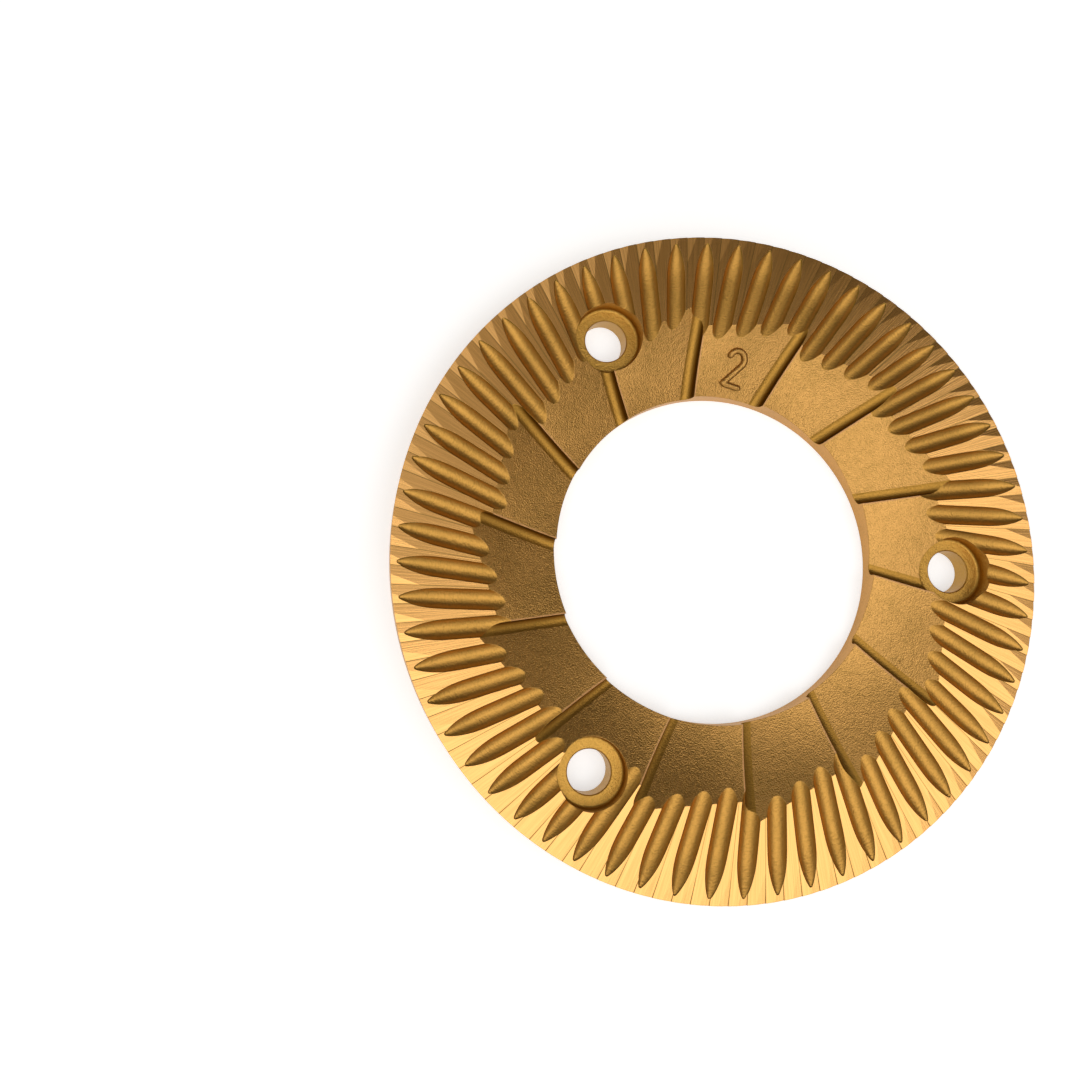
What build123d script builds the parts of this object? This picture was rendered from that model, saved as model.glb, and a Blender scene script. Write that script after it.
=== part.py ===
"""Flat burr of a coffee grinder: one cast ring with a toothed grinding face.

Millimetres, +Z up out of the grinding face. The origin is on the ring's axis, in its flat back face.
Depths on the grinding face are measured down from the plane of its rim. Ramps, flutes and rim teeth
lean: each follows a straight line that passes the ring's axis at a distance, its lean. Each is modelled
along +X and turned into place about Z.
"""

import os
from math import asin, cos, degrees, radians, sin, sqrt, tan

from build123d import *

# Ring
outer_diameter = 98.0
bore_diameter = 49.4
thickness = 7.0
back_chamfer = 0.5

# Feed ramps: each rises counterclockwise from its low end to its high end, then drops at a step
ramp_count = 14
first_step_angle = 16.8
step_angle_radius = 35.5
step_lean = 5.3
step_fillet = 1.6
ramp_low_radius = 39.0
ramp_high_radius = 35.0
ramp_low_bore_depth = 5.3
ramp_high_bore_depth = 3.1

# Flutes: round-bottomed grooves that dip inward from a pointed tip and run out on the ramps
flute_count = 60
first_flute_angle = 2.08
flute_lean = 7.5
flute_tip_radius = 48.0
flute_round = 1.6
flute_dip = 5.0

# Rim teeth: small wedge facets that deepen to the rim, each ending at an upright wall
tooth_count = 112
first_tooth_angle = 2.6
tooth_lean = 6.0
tooth_length = 4.2
tooth_width = 1.4
tooth_depth = 0.12

# Counterbored holes for the fixing screws
screw_count = 3
first_screw_angle = -2.35
screw_circle_diameter = 73.6
screw_hole_diameter = 6.4
screw_head_diameter = 10.2
screw_head_depth = 3.3

# How far a cutter reaches past the surface that it cuts
overrun = 2.0

outer_radius = outer_diameter / 2
bore_radius = bore_diameter / 2


def along(radius, lean):
    """Distance along a leaning line, from its point nearest the axis to the given radius."""
    return sqrt(radius**2 - lean**2)


def turned(angle, radius, lean):
    """Rotation about Z that brings a line leaning along +X to the given angle at the given radius."""
    return angle - degrees(asin(lean / radius))


def step_point(radius, depth, ramps_on=0):
    """Point on a step at the given radius and depth, a number of ramps on from the step along +X."""
    angle = asin(step_lean / radius) + radians(360 / ramp_count) * ramps_on
    return Vector(radius * cos(angle), radius * sin(angle), thickness - depth)


# Corners of one ramp floor, at the steps at its low and high ends
low_land = step_point(ramp_low_radius, 0)
low_bore = step_point(bore_radius, ramp_low_bore_depth)
high_land = step_point(ramp_high_radius, 0, ramps_on=1)
high_bore = step_point(bore_radius, ramp_high_bore_depth, ramps_on=1)

# Space above one ramp: an outer facet falls from the land along the step, an inner one to the bore
with BuildPart() as ramp_space:
    step_foot = low_land - low_bore
    outward = step_foot.normalized()
    reach = 2 * thickness
    section_plane = Plane(origin=low_bore - outward * reach, x_dir=(0, 1, 0), z_dir=outward)
    across = section_plane.to_local_coords(high_land)
    floor_slope = across.Y / across.X
    width = across.X + 2 * overrun
    with BuildSketch(section_plane):
        with BuildLine():
            Polyline((0, reach), (0, 0), (width, width * floor_slope), (width, reach), close=True)
        make_face()
        fillet(vertices().sort_by_distance((0, 0))[0], radius=step_fillet)
    extrude(amount=step_foot.length + 2 * reach)
    valley = high_land - low_bore
    inner_facet = Plane(origin=low_bore, x_dir=valley, z_dir=valley.cross(high_bore - low_bore))
    split(bisect_by=inner_facet, keep=Keep.TOP)

# One flute: a straight round groove, dipping inward from its tip
with BuildPart() as flute:
    dip = tan(radians(flute_dip))
    upright = Vector(-dip, 0, 1).normalized()
    tip = Vector(along(flute_tip_radius, flute_lean), flute_lean, thickness)
    with BuildSketch(Plane(origin=tip + upright * flute_round, x_dir=(0, 1, 0), z_dir=(-1, 0, -dip))):
        Circle(flute_round)
    extrude(amount=flute_tip_radius / 2, both=True)

# One rim tooth: a wedge whose facet falls counterclockwise to an upright wall and outward to the rim
with BuildPart() as tooth:
    facet_slope = tooth_depth / tooth_width
    outward_slope = tooth_depth / tooth_length
    rim_x = along(outer_radius, tooth_lean)
    foot_z = -tooth_depth - overrun * outward_slope
    wedge_top = overrun * facet_slope
    wedge_width = (wedge_top - foot_z) / facet_slope
    wedge_plane = Plane(
        origin=(rim_x + overrun, tooth_lean, thickness), x_dir=(0, 1, 0), z_dir=(1, 0, 0)
    )
    with BuildSketch(wedge_plane):
        with BuildLine():
            Polyline((0, foot_z), (0, wedge_top), (-wedge_width, wedge_top), close=True)
        make_face()
    inward = Vector(-1, 0, outward_slope)
    extrude(amount=inward.length * (tooth_length + 2 * overrun), dir=inward.normalized())

# The burr itself
with BuildPart() as burr:
    with BuildSketch():
        Circle(outer_radius)
        Circle(bore_radius, mode=Mode.SUBTRACT)
    extrude(amount=thickness)
    chamfer(faces().sort_by(Axis.Z)[0].outer_wire().edges(), length=back_chamfer)
    with PolarLocations(0, ramp_count, start_angle=turned(first_step_angle, step_angle_radius, step_lean)):
        add(ramp_space.part, mode=Mode.SUBTRACT)
    with Locations(Plane.XY.offset(thickness)):
        with PolarLocations(screw_circle_diameter / 2, screw_count, start_angle=first_screw_angle):
            CounterBoreHole(screw_hole_diameter / 2, screw_head_diameter / 2, screw_head_depth)
    with PolarLocations(0, flute_count, start_angle=turned(first_flute_angle, flute_tip_radius, flute_lean)):
        add(flute.part, mode=Mode.SUBTRACT)
    with PolarLocations(0, tooth_count, start_angle=turned(first_tooth_angle, outer_radius, tooth_lean)):
        add(tooth.part, mode=Mode.SUBTRACT)

burr.part.label = "burr"
os.makedirs("parts", exist_ok=True)
export_step(burr.part, "parts/burr.step")
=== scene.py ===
"""Looks of the coffee grinder burr: a dense copy of the ring, its coating, the floor, the light and the camera."""

from math import asin, atan2, cos, degrees, exp, pi, radians, sin, sqrt

import bmesh
import bpy
from mathutils import Matrix, Vector


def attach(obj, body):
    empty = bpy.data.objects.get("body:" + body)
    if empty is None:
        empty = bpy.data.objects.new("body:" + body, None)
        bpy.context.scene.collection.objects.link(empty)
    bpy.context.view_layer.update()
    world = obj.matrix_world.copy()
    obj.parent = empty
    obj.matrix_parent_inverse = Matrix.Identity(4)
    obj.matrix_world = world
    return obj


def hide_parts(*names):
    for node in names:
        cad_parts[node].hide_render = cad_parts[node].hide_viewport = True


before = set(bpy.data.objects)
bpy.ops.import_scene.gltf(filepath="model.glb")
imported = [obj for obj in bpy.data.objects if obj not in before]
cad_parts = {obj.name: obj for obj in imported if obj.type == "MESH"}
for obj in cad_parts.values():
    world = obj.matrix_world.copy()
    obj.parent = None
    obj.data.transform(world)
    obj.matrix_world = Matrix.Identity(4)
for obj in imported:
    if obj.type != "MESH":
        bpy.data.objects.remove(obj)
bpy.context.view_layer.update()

# Sizes in millimetres and angles in degrees, from the part's own driving dimensions
MM = 0.001
OUTER_RADIUS = 49.0
BORE_RADIUS = 24.7
THICKNESS = 7.0
BACK_CHAMFER = 0.5

# Feed ramps: a hollow floor, and a cove with a faint gutter at the foot of each step
RAMP_COUNT = 14
FIRST_STEP_ANGLE = 16.8
STEP_ANGLE_RADIUS = 35.5
STEP_LEAN = 5.3
STEP_COVE = 1.4
STEP_GUTTER = 0.04
RAMP_LOW_RADIUS = 39.0
RAMP_HIGH_RADIUS = 35.0
RAMP_LOW_BORE_DEPTH = 5.3
RAMP_HIGH_BORE_DEPTH = 3.1
RAMP_HOLLOW = 0.5

# Flutes: each widens from a narrow tip and dips inward, straight at first, until it is level
FLUTE_COUNT = 60
FIRST_FLUTE_ANGLE = 2.08
FLUTE_LEAN = 7.5
FLUTE_TIP_RADIUS = 48.0
FLUTE_END_RADIUS = 27.0
FLUTE_ROUND = 1.65
FLUTE_NARROWING = 0.83
FLUTE_WIDENING_LENGTH = 1.5
FLUTE_TIP_DEPTH = 0.15
FLUTE_SLOPE = 0.17
FLUTE_STRAIGHT = 3.0
FLUTE_LEVEL = 6.0

# Rim teeth
TOOTH_COUNT = 112
FIRST_TOOTH_ANGLE = 2.6
TOOTH_LEAN = 6.0
TOOTH_LENGTH = 4.2
TOOTH_WIDTH = 1.4
TOOTH_DEPTH = 0.12

# Screw holes
SCREW_COUNT = 3
FIRST_SCREW_ANGLE = -2.35
SCREW_CIRCLE_RADIUS = 36.8
SCREW_HOLE_RADIUS = 3.2
SCREW_HEAD_RADIUS = 5.1
SCREW_HEAD_DEPTH = 3.3
SCREW_FLOOR_FILLET = 0.5
SCREW_HOLE_CHAMFER = 0.15

# Regions of the ring, in the order of its material slots
WALL, LAND, TOOTH, FLUTE, RAMP, STEP, HOLE = range(7)


def along(radius, lean):
    """Distance along a leaning line, from its point nearest the axis to the given radius."""
    return sqrt(radius**2 - lean**2)


def turned(angle, radius, lean):
    """Rotation about Z, in degrees, that brings a line leaning along +X to an angle at a radius."""
    return angle - degrees(asin(lean / radius))


FIRST_STEP_TURN = turned(FIRST_STEP_ANGLE, STEP_ANGLE_RADIUS, STEP_LEAN)
FIRST_FLUTE_TURN = turned(FIRST_FLUTE_ANGLE, FLUTE_TIP_RADIUS, FLUTE_LEAN)
FIRST_TOOTH_TURN = turned(FIRST_TOOTH_ANGLE, OUTER_RADIUS, TOOTH_LEAN)

# Shader nodes

# Numbers of the mix node's colour sockets, whose names aren't unique
MIX_SHARE, MIX_COLOR, MIX_OTHER, MIX_RESULT = 0, 6, 7, 2


def node(tree, kind, inputs=None, **settings):
    """New shader node with its settings and its inputs, each a value or another node's output."""
    made = tree.nodes.new(kind)
    for name, value in settings.items():
        setattr(made, name, value)
    for name, value in (inputs or {}).items():
        if isinstance(value, bpy.types.NodeSocket):
            tree.links.new(value, made.inputs[name])
        else:
            made.inputs[name].default_value = value
    return made


def calc(tree, operation, value, *others):
    """Output of a maths node, or of a row of them that takes in the other values one by one."""
    for other in others or (0.0,):
        value = node(tree, "ShaderNodeMath", {0: value, 1: other}, operation=operation).outputs[0]
    return value


def ranged(tree, value, limits, levels):
    """A value brought smoothly from one level to another as it goes from one limit to the other."""
    return node(tree, "ShaderNodeMapRange", {
        "Value": value,
        "From Min": limits[0],
        "From Max": limits[1],
        "To Min": levels[0],
        "To Max": levels[1],
    }, interpolation_type="SMOOTHSTEP").outputs[0]


def mixed(tree, share, color, other):
    """A colour mixed with a share of another one."""
    inputs = {MIX_SHARE: share, MIX_COLOR: color, MIX_OTHER: other}
    return node(tree, "ShaderNodeMix", inputs, data_type="RGBA").outputs[MIX_RESULT]


def noise(tree, vector, scale=1.0, detail=3.0):
    """Noise over a vector."""
    return node(tree, "ShaderNodeTexNoise", {"Vector": vector, "Scale": scale, "Detail": detail}).outputs[0]


def flat_noise(tree, x, y, detail):
    """Noise over two values."""
    return noise(tree, node(tree, "ShaderNodeCombineXYZ", {0: x, 1: y}).outputs[0], detail=detail)


def axes(tree, vector):
    """The X, Y and Z of a vector."""
    return node(tree, "ShaderNodeSeparateXYZ", {0: vector}).outputs


def rays_seen(tree):
    """Whether a ray comes from the camera, and whether it comes from a reflection or from glass."""
    rays = node(tree, "ShaderNodeLightPath").outputs
    return rays["Is Camera Ray"], calc(tree, "MAXIMUM", rays["Is Glossy Ray"], rays["Is Transmission Ray"])


def place(tree):
    """Position on the object, in millimetres."""
    coordinates = node(tree, "ShaderNodeTexCoord").outputs["Object"]
    return node(tree, "ShaderNodeVectorMath", {0: coordinates, "Scale": 1 / MM}, operation="SCALE").outputs[0]


def grain(tree, size, detail=3.0):
    """Noise over the object, with lumps of a size in millimetres."""
    return noise(tree, place(tree), 1 / size, detail)


def leaning_angle(tree, lean):
    """Angle, in turns of the ring, that is the same all along a leaning line, and the radius."""
    x, y, _ = axes(tree, place(tree))
    radius = calc(tree, "SQRT", calc(tree, "ADD", calc(tree, "MULTIPLY", x, x), calc(tree, "MULTIPLY", y, y)))
    swing = calc(tree, "ARCSINE", calc(tree, "DIVIDE", lean, radius))
    angle = calc(tree, "SUBTRACT", calc(tree, "ARCTAN2", y, x), swing)
    return calc(tree, "DIVIDE", angle, 2 * pi), radius


def copies_on(tree, turns, first_turn, count):
    """How many copies an angle in turns is on from the first copy of a pattern round the ring."""
    return calc(tree, "MULTIPLY", calc(tree, "SUBTRACT", turns, first_turn / 360), count)


# Coating: colours, then sizes in millimetres

LAND_COLOR = (0.89, 0.47, 0.15)
CAST_COLOR = (0.78, 0.415, 0.118)
FLUTE_COLOR = (0.72, 0.38, 0.085)
HOLE_COLOR = (0.71, 0.385, 0.08)
WALL_COLOR = (0.62, 0.32, 0.08)
# Steps: darker than the ramp floor, a painted shade on the step walls
SHADED_STEP_COLOR = (0.57, 0.295, 0.055)
# Step crests: lighter, partly rubbed coating and partly a painted highlight
RUBBED_HIGHLIGHT_COLOR = (0.95, 0.58, 0.26)
# Share of each colour channel kept where the surface is darkest: in pits and stains, and in painted shade
DARK_SHARES = (0.19, 0.25, 0.09)
WORN_ROUGHNESS = 0.35

CAST_EDGE = 0.15
GROUND_EDGE = 0.06
SAND_GRAIN = 0.2
SAND_LUMP = 0.9
BLASTED_GRAIN = 0.24
RIPPLE_LENGTH = 0.24
RIPPLE_WIDTH = 0.5
RIPPLE_RADIUS = 43
STAIN_SIZE = 6.0
CREST_LINE = (0.25, 0.45)
CREST_GRAIN = 0.5
CREST_RAGGEDNESS = 0.3
FACE_LINE = (THICKNESS - 0.2, THICKNESS - 0.03)
TOOTH_LINE = (0.03, 0.10)
STREAK_DEPTH = 0.012
STREAKS_ROUND_RING = 1600.0
STREAKS_OUTWARD = 0.12


def metal(name, color, roughness):
    """New metal material, its tree and its shader node."""
    material = bpy.data.materials.new(name)
    material.use_nodes = True
    tree = material.node_tree
    shader = tree.nodes["Principled BSDF"]
    shader.inputs["Base Color"].default_value = (*color, 1)
    shader.inputs["Metallic"].default_value = 1.0
    shader.inputs["Roughness"].default_value = roughness
    return material, tree, shader


def bumped(tree, shader, height, depth, edge):
    """Roughen a shader's surface by a height, over edges that are softened by a radius in millimetres."""
    soft = node(tree, "ShaderNodeBevel", {"Radius": edge * MM}, samples=4).outputs[0]
    bump = node(tree, "ShaderNodeBump", {"Height": height, "Distance": depth * MM, "Normal": soft})
    tree.links.new(bump.outputs[0], shader.inputs["Normal"])


def tinted(tree, shader, color, shade):
    """Colour a shader's surface, darkened by a shade that varies from 0 to 1."""
    dark = [share * channel for share, channel in zip(DARK_SHARES, color)]
    tint = mixed(tree, shade, (*color, 1), (*dark, 1))
    tree.links.new(tint, shader.inputs["Base Color"])
    return tint


def rubbed_and_highlit(tree, shader, tint, roughness, rub_and_highlight):
    """Lighten and roughen a shader's surface by a share from 0 to 1, for rubbed coating and a painted highlight.
    """
    tree.links.new(mixed(tree, rub_and_highlight, tint, (*RUBBED_HIGHLIGHT_COLOR, 1)), shader.inputs["Base Color"])
    rougher = calc(tree, "ADD", calc(tree, "MULTIPLY", rub_and_highlight, WORN_ROUGHNESS), roughness)
    tree.links.new(rougher, shader.inputs["Roughness"])


def at_crest(tree):
    """How near the surface is to the crest of a step, from 0 to 1, with a ragged edge."""
    turns, radius = leaning_angle(tree, STEP_LEAN)
    rise = calc(tree, "FRACT", copies_on(tree, turns, FIRST_STEP_TURN, RAMP_COUNT))
    distance = calc(tree, "MULTIPLY", calc(tree, "SUBTRACT", 1.0, rise), radius, 2 * pi / RAMP_COUNT)
    ragged = calc(tree, "ADD", distance, calc(tree, "MULTIPLY", grain(tree, CREST_GRAIN), CREST_RAGGEDNESS))
    return ranged(tree, ragged, CREST_LINE, (1.0, 0.0))


def sand(tree):
    """Height of a sandy surface: small grains over faint lumps."""
    grains = calc(tree, "MULTIPLY", grain(tree, SAND_GRAIN, detail=2.0), 0.8)
    lumps = calc(tree, "MULTIPLY", grain(tree, SAND_LUMP), 0.4)
    return calc(tree, "ADD", grains, calc(tree, "SUBTRACT", lumps, 0.1))


def blasted(tree):
    """Height of a finely blasted surface."""
    return grain(tree, BLASTED_GRAIN)


def rippled(tree):
    """Height of a flute's surface: fine ripples across it."""
    turns, radius = leaning_angle(tree, FLUTE_LEAN)
    outward = calc(tree, "MULTIPLY", radius, 1 / RIPPLE_LENGTH)
    across = calc(tree, "MULTIPLY", turns, 2 * pi * RIPPLE_RADIUS / RIPPLE_WIDTH)
    return flat_noise(tree, outward, across, detail=3.0)


def cast_metal(
    name, color, roughness, relief, depth, pitted=0.2, rim=0.0, painted_wall_shade=0.0, gentle=0.85, rubbed_highlit_crests=False
):
    """Coated cast surface with a relief of a depth in millimetres.

    It is darker by shares from 0 to 1: in its pits and in broad stains, and by painted shade along the rim
    where it meets the face and on faces steeper than a gentle slope, given by how far its normal points up.
    Crests are lighter: partly rubbed coating, partly a painted highlight.
    """
    material, tree, shader = metal(name, color, roughness)
    height = relief(tree)
    bumped(tree, shader, height, depth, CAST_EDGE)
    pits = ranged(tree, height, (0.25, 0.6), (pitted, 0.0))
    stains = ranged(tree, grain(tree, STAIN_SIZE), (0.35, 0.7), (0.0, 0.12))
    upward = axes(tree, node(tree, "ShaderNodeNewGeometry").outputs["Normal"])[2]
    # Painted shade: faces steeper than a gentle slope are darkened, by up to their given share
    steep = ranged(tree, upward, (0.35, gentle), (painted_wall_shade, 0.0))
    # Painted shade along the rim, where the surface meets the face
    painted_rim_shade = ranged(tree, axes(tree, place(tree))[2], FACE_LINE, (0.0, rim))
    shade = calc(tree, "MAXIMUM", calc(tree, "ADD", pits, stains), painted_rim_shade, steep)
    tint = tinted(tree, shader, color, shade)
    # Step crests lighter and rougher: partly rubbed coating, partly a painted highlight
    if rubbed_highlit_crests:
        rubbed_and_highlit(tree, shader, tint, roughness, at_crest(tree))
    return material


def ground_metal(name, color, roughness):
    """Ground surface: fine scratches along the teeth, and a thin dark line inward from each tooth's wall."""
    material, tree, shader = metal(name, color, roughness)
    turns, radius = leaning_angle(tree, TOOTH_LEAN)
    across = calc(tree, "MULTIPLY", turns, STREAKS_ROUND_RING)
    outward = calc(tree, "MULTIPLY", radius, STREAKS_OUTWARD)
    streaks = flat_noise(tree, across, outward, detail=4.0)
    bumped(tree, shader, streaks, STREAK_DEPTH, GROUND_EDGE)
    teeth_on = copies_on(tree, turns, FIRST_TOOTH_TURN, TOOTH_COUNT)
    place_in_tooth = calc(tree, "FRACT", calc(tree, "ADD", teeth_on, 0.5))
    off_line = calc(tree, "ABSOLUTE", calc(tree, "SUBTRACT", place_in_tooth, 0.5))
    distance = calc(tree, "MULTIPLY", off_line, radius, 2 * pi / TOOTH_COUNT)
    line = ranged(tree, distance, TOOTH_LINE, (0.6, 0.0))
    scratched = ranged(tree, streaks, (0.35, 0.65), (0.2, 0.0))
    tinted(tree, shader, color, calc(tree, "MAXIMUM", line, scratched))
    return material


materials = [
    cast_metal("turned wall", WALL_COLOR, 0.45, blasted, depth=0.03),
    ground_metal("ground land", LAND_COLOR, 0.2),
    ground_metal("ground tooth", LAND_COLOR, 0.2),
    # Flutes: painted shade on their steep sides and along their rim at the face
    cast_metal("cast flute", FLUTE_COLOR, 0.44, rippled, depth=0.07, rim=0.75, painted_wall_shade=0.85),
    # Ramp floors: painted shade only on faces steeper than the floors, such as the numeral's sides
    cast_metal(
        "cast ramp", CAST_COLOR, 0.36, sand, depth=0.11, pitted=0.35, painted_wall_shade=0.75, gentle=0.8, rubbed_highlit_crests=True
    ),
    # Steps: darker colour and painted shade on all but nearly level faces, for the shade on the step walls
    cast_metal("cast step", SHADED_STEP_COLOR, 0.42, blasted, depth=0.05, painted_wall_shade=0.85, gentle=0.97),
    # Holes: painted shade on their walls and along their rim at the face
    cast_metal("bored hole", HOLE_COLOR, 0.4, blasted, depth=0.08, rim=0.6, painted_wall_shade=0.35),
]

# Meshes, each a list of vertices in millimetres and a list of faces

RING_SEGMENTS = 480
FLUTE_SEGMENTS = 48
FLUTE_STATIONS = 44
COVE_STEPS = 12
FLOOR_STEPS = 18
RAMP_STATIONS = 26
HOLE_SEGMENTS = 96
FILLET_STEPS = 6

# How much closer stations lie at the start of a curve
CROWDING = 1.6

# How far the cutters reach past what they cut
RAMP_SIDE_OVERRUN = 2.0
RAMP_END_OVERRUN = 4.0
RAMP_TOP_OVERRUN = 7.5
TOOTH_END_OVERRUN = 0.5
TOOTH_TOP_OVERRUN = 0.1
HOLE_OVERRUN = 1.0

# Distance from the tip, and depth, of the sections that close a flute's tip, and distance of the next one
FLUTE_TIP_SECTIONS = [(-0.2, -0.06), (-0.1, 0.06)]
FLUTE_FIRST_STATION = 0.05


def lofted(rings, closed=False):
    """Mesh of a skin over rings of points, capped at both ends unless it closes on itself."""
    count = len(rings[0])
    vertices = [point for ring in rings for point in ring]
    faces = []
    for i in range(len(rings) if closed else len(rings) - 1):
        a = i * count
        b = (i + 1) % len(rings) * count
        for j in range(count):
            k = (j + 1) % count
            faces.append((a + j, a + k, b + k, b + j))
    if not closed:
        last = (len(rings) - 1) * count
        faces.append(tuple(reversed(range(count))))
        faces.append(tuple(range(last, last + count)))
    return vertices, faces


def mesh_object(name, mesh, regions, angles=(0,)):
    """Object made of copies of a closed mesh, turned about Z, with one region for all faces or one for each."""
    vertices, faces = mesh
    if isinstance(regions, int):
        regions = [regions] * len(faces)
    all_vertices = []
    all_faces = []
    for angle in angles:
        base = len(all_vertices)
        turn = Matrix.Rotation(radians(angle), 3, "Z")
        all_vertices += [turn @ Vector(v) * MM for v in vertices]
        all_faces += [[base + i for i in face] for face in faces]
    data = bpy.data.meshes.new(name)
    data.from_pydata(all_vertices, [], all_faces)
    shell = bmesh.new()
    shell.from_mesh(data)
    bmesh.ops.recalc_face_normals(shell, faces=shell.faces)
    shell.to_mesh(data)
    shell.free()
    for material in materials:
        data.materials.append(material)
    data.polygons.foreach_set("material_index", list(regions) * len(angles))
    obj = bpy.data.objects.new(name, data)
    bpy.context.scene.collection.objects.link(obj)
    return obj


def circle_turns(segments):
    """Angles of points round a circle, in radians."""
    return [2 * pi * i / segments for i in range(segments)]


def ring_mesh():
    """The plain ring before its face is cut."""
    profile = [
        (BORE_RADIUS, 0),
        (OUTER_RADIUS - BACK_CHAMFER, 0),
        (OUTER_RADIUS, BACK_CHAMFER),
        (OUTER_RADIUS, THICKNESS),
        (BORE_RADIUS, THICKNESS),
    ]
    rings = [[(r * cos(t), r * sin(t), z) for r, z in profile] for t in circle_turns(RING_SEGMENTS)]
    return lofted(list(reversed(rings)), closed=True)


def flute_depth(s):
    """Depth of a flute's bottom at a distance from its tip: a straight dip that levels off."""
    bend = max(0.0, min(s, FLUTE_LEVEL) - FLUTE_STRAIGHT)
    run = min(s, FLUTE_STRAIGHT) + bend - bend**2 / (2 * (FLUTE_LEVEL - FLUTE_STRAIGHT))
    return FLUTE_TIP_DEPTH + FLUTE_SLOPE * run


def flute_mesh():
    """One flute along +X: round sections that widen and deepen from a steep-sided tip."""
    tip_x = along(FLUTE_TIP_RADIUS, FLUTE_LEAN)
    length = tip_x - along(FLUTE_END_RADIUS, FLUTE_LEAN)
    sections = list(FLUTE_TIP_SECTIONS)
    for i in range(FLUTE_STATIONS + 1):
        s = FLUTE_FIRST_STATION + (length - FLUTE_FIRST_STATION) * (i / FLUTE_STATIONS) ** CROWDING
        sections.append((s, flute_depth(s)))
    rings = []
    for s, depth in sections:
        radius = FLUTE_ROUND * (1 - FLUTE_NARROWING * exp(-max(s, 0) / FLUTE_WIDENING_LENGTH))
        rings.append([
            (tip_x - s, FLUTE_LEAN + radius * sin(t), THICKNESS - depth + radius - radius * cos(t))
            for t in circle_turns(FLUTE_SEGMENTS)
        ])
    return lofted(rings)


def tooth_mesh():
    """One rim tooth along +X: a wedge that falls to an upright wall and outward to the rim."""
    facet_slope = TOOTH_DEPTH / TOOTH_WIDTH
    rim_x = along(OUTER_RADIUS, TOOTH_LEAN)
    top = THICKNESS + TOOTH_TOP_OVERRUN
    rings = []
    for x in (rim_x + TOOTH_END_OVERRUN, rim_x - TOOTH_LENGTH - TOOTH_END_OVERRUN):
        foot = -TOOTH_DEPTH * (x - rim_x + TOOTH_LENGTH) / TOOTH_LENGTH
        width = (TOOTH_TOP_OVERRUN - foot) / facet_slope
        rings.append([(x, TOOTH_LEAN, THICKNESS + foot), (x, TOOTH_LEAN - width, top), (x, TOOTH_LEAN, top)])
    return lofted(list(reversed(rings)))


def step_point(radius, depth, ramps_on=0):
    """Point on a step at a radius and depth, a number of ramps on from the step along +X."""
    angle = asin(STEP_LEAN / radius) + radians(360 / RAMP_COUNT) * ramps_on
    return Vector((radius * cos(angle), radius * sin(angle), THICKNESS - depth))


LOW_LAND = step_point(RAMP_LOW_RADIUS, 0)
HIGH_LAND = step_point(RAMP_HIGH_RADIUS, 0, 1)
HIGH_BORE = step_point(BORE_RADIUS, RAMP_HIGH_BORE_DEPTH, 1)
LAND_EDGE = (HIGH_LAND - LOW_LAND).normalized()


def floor_height(x, y):
    """Height of the ramp floor: it falls from the land's edge to the bore, a little hollow on the way."""
    radius = sqrt(x**2 + y**2)
    across = (atan2(y, x) - asin(STEP_LEAN / radius)) / radians(360 / RAMP_COUNT)
    from_land = LAND_EDGE.x * (y - LOW_LAND.y) - LAND_EDGE.y * (x - LOW_LAND.x)
    to_bore = radius - BORE_RADIUS
    fall = from_land / (from_land + to_bore)
    bore_depth = RAMP_LOW_BORE_DEPTH + (RAMP_HIGH_BORE_DEPTH - RAMP_LOW_BORE_DEPTH) * across
    return THICKNESS - bore_depth * fall * (1 + RAMP_HOLLOW * (1 - fall))


def ramp_mesh():
    """Space above one ramp, lofted along its step, and the region of each face: a smooth cove, then the floor."""
    top = THICKNESS + RAMP_TOP_OVERRUN
    width = HIGH_LAND.y - STEP_LEAN + RAMP_SIDE_OVERRUN
    cove_end = STEP_COVE + sqrt(2 * STEP_COVE * STEP_GUTTER - STEP_GUTTER**2)
    offsets = [cove_end * (i / COVE_STEPS) ** CROWDING for i in range(COVE_STEPS)]
    offsets += [cove_end + (width - cove_end) * i / FLOOR_STEPS for i in range(FLOOR_STEPS + 1)]
    start = HIGH_BORE.x - RAMP_END_OVERRUN
    end = LOW_LAND.x + RAMP_END_OVERRUN
    rings = []
    for i in range(RAMP_STATIONS + 1):
        x = start + (end - start) * i / RAMP_STATIONS
        ring = [(x, STEP_LEAN, top)]
        for d in offsets:
            z = floor_height(x, STEP_LEAN + d)
            if d < cove_end:
                z += STEP_COVE - STEP_GUTTER - sqrt(STEP_COVE**2 - (STEP_COVE - d) ** 2)
            ring.append((x, STEP_LEAN + d, z))
        ring.append((x, STEP_LEAN + width, top))
        rings.append(ring)
    across = [STEP] * (COVE_STEPS + 1) + [RAMP] * (FLOOR_STEPS + 2)
    return lofted(rings), across * RAMP_STATIONS + [RAMP, RAMP]


def hole_mesh():
    """One counterbored screw hole on the +X axis, with a small fillet round its floor."""
    floor = THICKNESS - SCREW_HEAD_DEPTH
    fillet = SCREW_FLOOR_FILLET
    profile = [
        (SCREW_HOLE_RADIUS, -HOLE_OVERRUN),
        (SCREW_HOLE_RADIUS, floor - SCREW_HOLE_CHAMFER),
        (SCREW_HOLE_RADIUS + SCREW_HOLE_CHAMFER, floor),
    ]
    for i in range(FILLET_STEPS + 1):
        t = pi / 2 * i / FILLET_STEPS
        profile.append((SCREW_HEAD_RADIUS - fillet + fillet * sin(t), floor + fillet - fillet * cos(t)))
    profile.append((SCREW_HEAD_RADIUS, THICKNESS + HOLE_OVERRUN))
    turns = circle_turns(HOLE_SEGMENTS)
    return lofted([[(SCREW_CIRCLE_RADIUS + r * cos(t), r * sin(t), z) for t in turns] for r, z in profile])


# The burr

SHARP_ANGLE = 25

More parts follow.
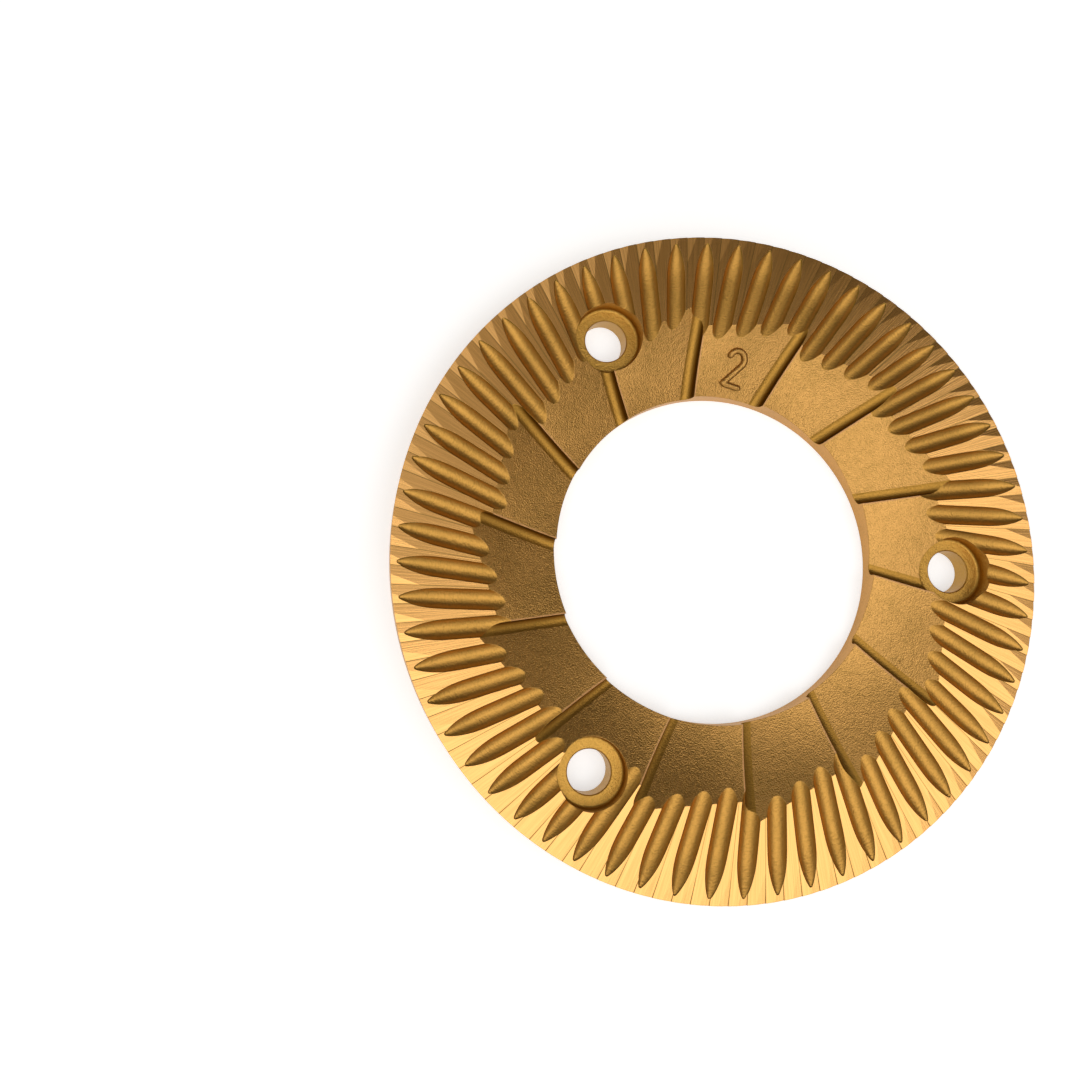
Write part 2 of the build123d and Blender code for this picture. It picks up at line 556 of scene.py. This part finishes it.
burr = mesh_object("burr_looks", ring_mesh(), WALL)
for polygon in burr.data.polygons:
    if polygon.normal.z > 0.99:
        polygon.material_index = LAND


def cut(mesh, regions, count, first_angle):
    """Cut copies of a mesh out of the burr all round, every other one first so that no two cutters overlap."""
    angles = [first_angle + 360 / count * i for i in range(count)]
    for first in (0, 1):
        cutter = mesh_object("cutter", mesh, regions, angles[first::2])
        boolean = burr.modifiers.new("cut", "BOOLEAN")
        boolean.operation = "DIFFERENCE"
        boolean.solver = "MANIFOLD"
        boolean.object = cutter
        bpy.context.view_layer.update()
        result = bpy.data.meshes.new_from_object(burr.evaluated_get(bpy.context.evaluated_depsgraph_get()))
        burr.modifiers.clear()
        burr.data = result
        bpy.data.objects.remove(cutter)


cut(*ramp_mesh(), RAMP_COUNT, FIRST_STEP_TURN)
cut(flute_mesh(), FLUTE, FLUTE_COUNT, FIRST_FLUTE_TURN)
cut(tooth_mesh(), TOOTH, TOOTH_COUNT, FIRST_TOOTH_TURN)
cut(hole_mesh(), HOLE, SCREW_COUNT, FIRST_SCREW_ANGLE)


def sharpen(mesh, angle):
    """Smooth shading, with sharp edges between regions and where faces meet at more than an angle."""
    mesh.polygons.foreach_set("use_smooth", [True] * len(mesh.polygons))
    sides = {}
    for polygon in mesh.polygons:
        for key in polygon.edge_keys:
            sides.setdefault(key, []).append((polygon.material_index, polygon.normal.copy()))
    limit = cos(radians(angle))
    for edge in mesh.edges:
        if len(sides.get(edge.key, [])) == 2:
            (region_a, normal_a), (region_b, normal_b) = sides[edge.key]
            edge.use_edge_sharp = region_a != region_b or normal_a.dot(normal_b) < limit


sharpen(burr.data, SHARP_ANGLE)

# A plain raised numeral on one ramp

NUMERAL_PLACE = Vector((3.05, 29.06))
NUMERAL_TURN = -12.0
NUMERAL_RAMP = 2
NUMERAL_STROKE = 0.5
NUMERAL_RISE = 0.12
NUMERAL_SEGMENTS = 20
NUMERAL_END_STEPS = 6
NUMERAL_LINE_STEPS = 12
BOWL_RADIUS = 1.25
BOWL_HEIGHT = 1.35
BOWL_FIRST_ANGLE = 165
BOWL_SWEEP = 205
BOWL_STEPS = 24
FOOT_LEFT = Vector((-1.3, -2.6))
FOOT_RIGHT = Vector((1.35, -2.6))


def numeral_path():
    """Centre line of a 2, about its own middle."""
    turns = [radians(BOWL_FIRST_ANGLE - BOWL_SWEEP * i / BOWL_STEPS) for i in range(BOWL_STEPS + 1)]
    points = [Vector((BOWL_RADIUS * cos(t), BOWL_HEIGHT + BOWL_RADIUS * sin(t))) for t in turns]
    for a, b in ((points[-1], FOOT_LEFT), (FOOT_LEFT, FOOT_RIGHT)):
        points += [a.lerp(b, i / NUMERAL_LINE_STEPS) for i in range(1, NUMERAL_LINE_STEPS + 1)]
    return points


def numeral_mesh():
    """Rounded stroke along the numeral's centre line, half sunk in the ramp floor."""
    ramp_turn = FIRST_STEP_TURN + 360 / RAMP_COUNT * NUMERAL_RAMP
    to_ramp = Matrix.Rotation(radians(-ramp_turn), 2)
    spine = []
    for point in numeral_path():
        spot = NUMERAL_PLACE + Matrix.Rotation(radians(NUMERAL_TURN), 2) @ point
        spine.append(Vector((*spot, floor_height(*(to_ramp @ spot)) + NUMERAL_RISE)))
    first = (spine[0] - spine[1]).normalized()
    last = (spine[-1] - spine[-2]).normalized()
    end_turns = [pi / 2 * i / NUMERAL_END_STEPS for i in range(NUMERAL_END_STEPS, 0, -1)]
    ends = [(NUMERAL_STROKE * sin(t), max(cos(t), 0.02)) for t in end_turns]
    stations = [(spine[0] + first * reach, size) for reach, size in ends]
    stations += [(point, 1.0) for point in spine]
    stations += [(spine[-1] + last * reach, size) for reach, size in reversed(ends)]
    rings = []
    for i, (point, size) in enumerate(stations):
        ahead = stations[min(i + 1, len(stations) - 1)][0] - stations[max(i - 1, 0)][0]
        side = ahead.cross(Vector((0, 0, 1))).normalized()
        rise = side.cross(ahead).normalized()
        turns = circle_turns(NUMERAL_SEGMENTS)
        rings.append([point + (side * cos(t) + rise * sin(t)) * NUMERAL_STROKE * size for t in turns])
    return lofted(rings)


numeral = mesh_object("numeral", numeral_mesh(), RAMP)
numeral.data.polygons.foreach_set("use_smooth", [True] * len(numeral.data.polygons))
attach(numeral, "root")

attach(burr, "root")
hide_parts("burr")

# Floor, in metres: white to the camera and in the metal, with the object's shadow

FLOOR_SIZE = 3.0
FLOOR_COLOR = (0.9, 0.9, 0.9, 1)
FLOOR_GLOW = 0.55

bpy.ops.mesh.primitive_plane_add(size=FLOOR_SIZE, location=(0, 0, 0))
floor = bpy.context.object
floor.name = "floor"
white = bpy.data.materials.new("white floor")
white.use_nodes = True
paper = white.node_tree.nodes["Principled BSDF"]
paper.inputs["Base Color"].default_value = FLOOR_COLOR
paper.inputs["Roughness"].default_value = 0.9
paper.inputs["Emission Color"].default_value = (1, 1, 1, 1)
seen = calc(white.node_tree, "MAXIMUM", *rays_seen(white.node_tree))
white.node_tree.links.new(calc(white.node_tree, "MULTIPLY", seen, FLOOR_GLOW), paper.inputs["Emission Strength"])
floor.data.materials.append(white)

# Light, in metres and watts per square metre: a wide panel overhead toward the near side

PANEL_HEIGHT = 1.0
PANEL_TURN = radians(22)
PANEL_ALONG = (-0.5, 0.75)
PANEL_ACROSS = (-0.65, -0.03)
PANEL_POWER = 3.05

panel_light = bpy.data.lights.new("panel", "AREA")
panel_light.shape = "RECTANGLE"
panel_light.size = PANEL_ALONG[1] - PANEL_ALONG[0]
panel_light.size_y = PANEL_ACROSS[1] - PANEL_ACROSS[0]
panel_light.energy = PANEL_POWER * panel_light.size * panel_light.size_y
panel = bpy.data.objects.new("panel", panel_light)
panel_middle = Vector((sum(PANEL_ALONG) / 2, sum(PANEL_ACROSS) / 2, PANEL_HEIGHT))
panel.matrix_world = Matrix.Rotation(PANEL_TURN, 4, "Z") @ Matrix.Translation(panel_middle)
bpy.context.scene.collection.objects.link(panel)

# Room: its light by direction, dim on the far side and the right, and a pale backdrop

RIGHT, AWAY, UP = (1, 0, 0), (0, 1, 0), (0, 0, 1)
PAST_PANEL = (-0.37, 0.93, 0)
NEAR_LEVEL = 0.7
FAR_LEVELS = (0.95, 0.14)
GLOW_LEVELS = (0.65, 0.3)
BACKDROP_LEVEL = 0.9
DIM_LEVELS = (0.2, 0.7)
DIM_TINT = (1, 0.9, 0.7, 1)

world = bpy.data.worlds.new("room")
bpy.context.scene.world = world
world.use_nodes = True
room = world.node_tree
direction = node(room, "ShaderNodeTexCoord").outputs["Generated"]


def varied(aim, limits, levels):
    """A level that goes from one value to another with how far a direction of the room points along an aim."""
    toward = node(room, "ShaderNodeVectorMath", {0: direction, 1: aim}, operation="DOT_PRODUCT")
    return ranged(room, toward.outputs["Value"], limits, levels)


past_panel = varied(PAST_PANEL, (0.0, 0.04), (0.0, 1.0))
far_level = calc(room, "MULTIPLY", varied(RIGHT, (-0.25, 0.3), FAR_LEVELS), varied(AWAY, (0.4, 0.58), (1.0, 0.05)))
far_change = calc(room, "MULTIPLY", past_panel, calc(room, "SUBTRACT", far_level, NEAR_LEVEL))
overhead = calc(room, "ADD", NEAR_LEVEL, far_change)
horizon = varied(UP, (0.2, 0.6), (0.15, 1.0))
right_side = varied(RIGHT, (0.55, 0.75), (1.0, 0.3))
left_side = varied(RIGHT, (-0.75, -0.45), (0.25, 1.0))
glow = varied(UP, (0.1, 0.45), (varied(RIGHT, (-0.6, 0.2), GLOW_LEVELS), 0.0))
light = calc(room, "MAXIMUM", calc(room, "MULTIPLY", overhead, horizon, right_side, left_side), glow)
from_camera, from_mirror = rays_seen(room)
low_in_mirror = calc(room, "MULTIPLY", from_mirror, varied(UP, (0.0, 0.15), (1.0, 0.0)))
backdrop = calc(room, "MULTIPLY", calc(room, "MAXIMUM", from_camera, low_in_mirror), BACKDROP_LEVEL)
level = calc(room, "MAXIMUM", light, backdrop)
dimness = ranged(room, level, DIM_LEVELS, (1.0, 0.0))
room.links.new(mixed(room, dimness, (1, 1, 1, 1), DIM_TINT), room.nodes["Background"].inputs["Color"])
room.links.new(level, room.nodes["Background"].inputs["Strength"])

# Camera, as the photograph was taken: places in millimetres, the photograph in pixels

CAMERA_PLACE = Vector((-52.12, -10.80, 160.86))
CAMERA_AIM = Vector((-31.59, 14.37, 7.0))
CAMERA_ROLL = -0.657
PHOTO_SIZE = 1080
PHOTO_FOCAL_LENGTH = 1080
PHOTO_CENTRE = (513.5, 452.4)

camera_data = bpy.data.cameras.new("camera")
camera_data.sensor_width = 36.0
camera_data.lens = camera_data.sensor_width * PHOTO_FOCAL_LENGTH / PHOTO_SIZE
camera_data.shift_x = 0.5 - PHOTO_CENTRE[0] / PHOTO_SIZE
camera_data.shift_y = PHOTO_CENTRE[1] / PHOTO_SIZE - 0.5
camera_data.clip_start = 0.01
camera = bpy.data.objects.new("camera", camera_data)
bpy.context.scene.collection.objects.link(camera)
bpy.context.scene.camera = camera
back = (CAMERA_PLACE - CAMERA_AIM).normalized()
level_up = (Vector(AWAY) - back * back.y).normalized()
level_right = level_up.cross(back)
up = level_up * cos(radians(CAMERA_ROLL)) + level_right * sin(radians(CAMERA_ROLL))
facing = Matrix((up.cross(back), up, back)).transposed()
camera.matrix_world = Matrix.Translation(CAMERA_PLACE * MM) @ facing.to_4x4()

bpy.context.scene.view_settings.view_transform = "Standard"
